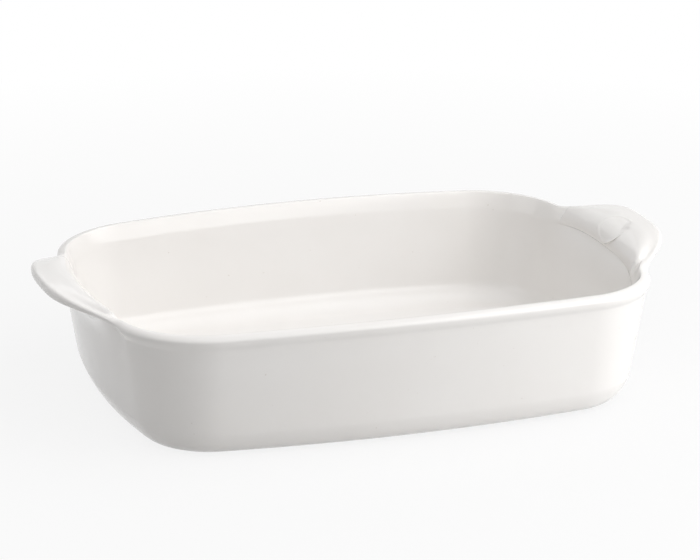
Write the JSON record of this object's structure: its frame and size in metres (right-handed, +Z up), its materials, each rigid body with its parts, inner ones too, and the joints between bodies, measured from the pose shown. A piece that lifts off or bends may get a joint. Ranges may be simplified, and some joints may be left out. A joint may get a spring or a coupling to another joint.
{
  "type": "rectangular baking dish",
  "caption": "Deep rectangular glazed ceramic baking dish with rounded corners, a rolled rim and a flared handle at each end, for roasting and baking.",
  "frame": {"origin": "centre of the foot's underside, on the table", "axes": "+X along the length towards the handle with the oval pad, +Y away from the front long side, +Z up"},
  "size_m": [0.3634, 0.2354, 0.0806],
  "materials": {
    "white_glaze": "glossy warm white glaze",
    "bare_clay": "unglazed matt fired clay"
  },
  "bodies": {
    "root": {"foot": "bare_clay", "basin": "white_glaze", "wall": "white_glaze", "front_rim": "white_glaze", "back_rim": "white_glaze", "left_handle": "white_glaze", "right_handle": "white_glaze", "oval_pad": "white_glaze"}
  },
  "joints": []
}
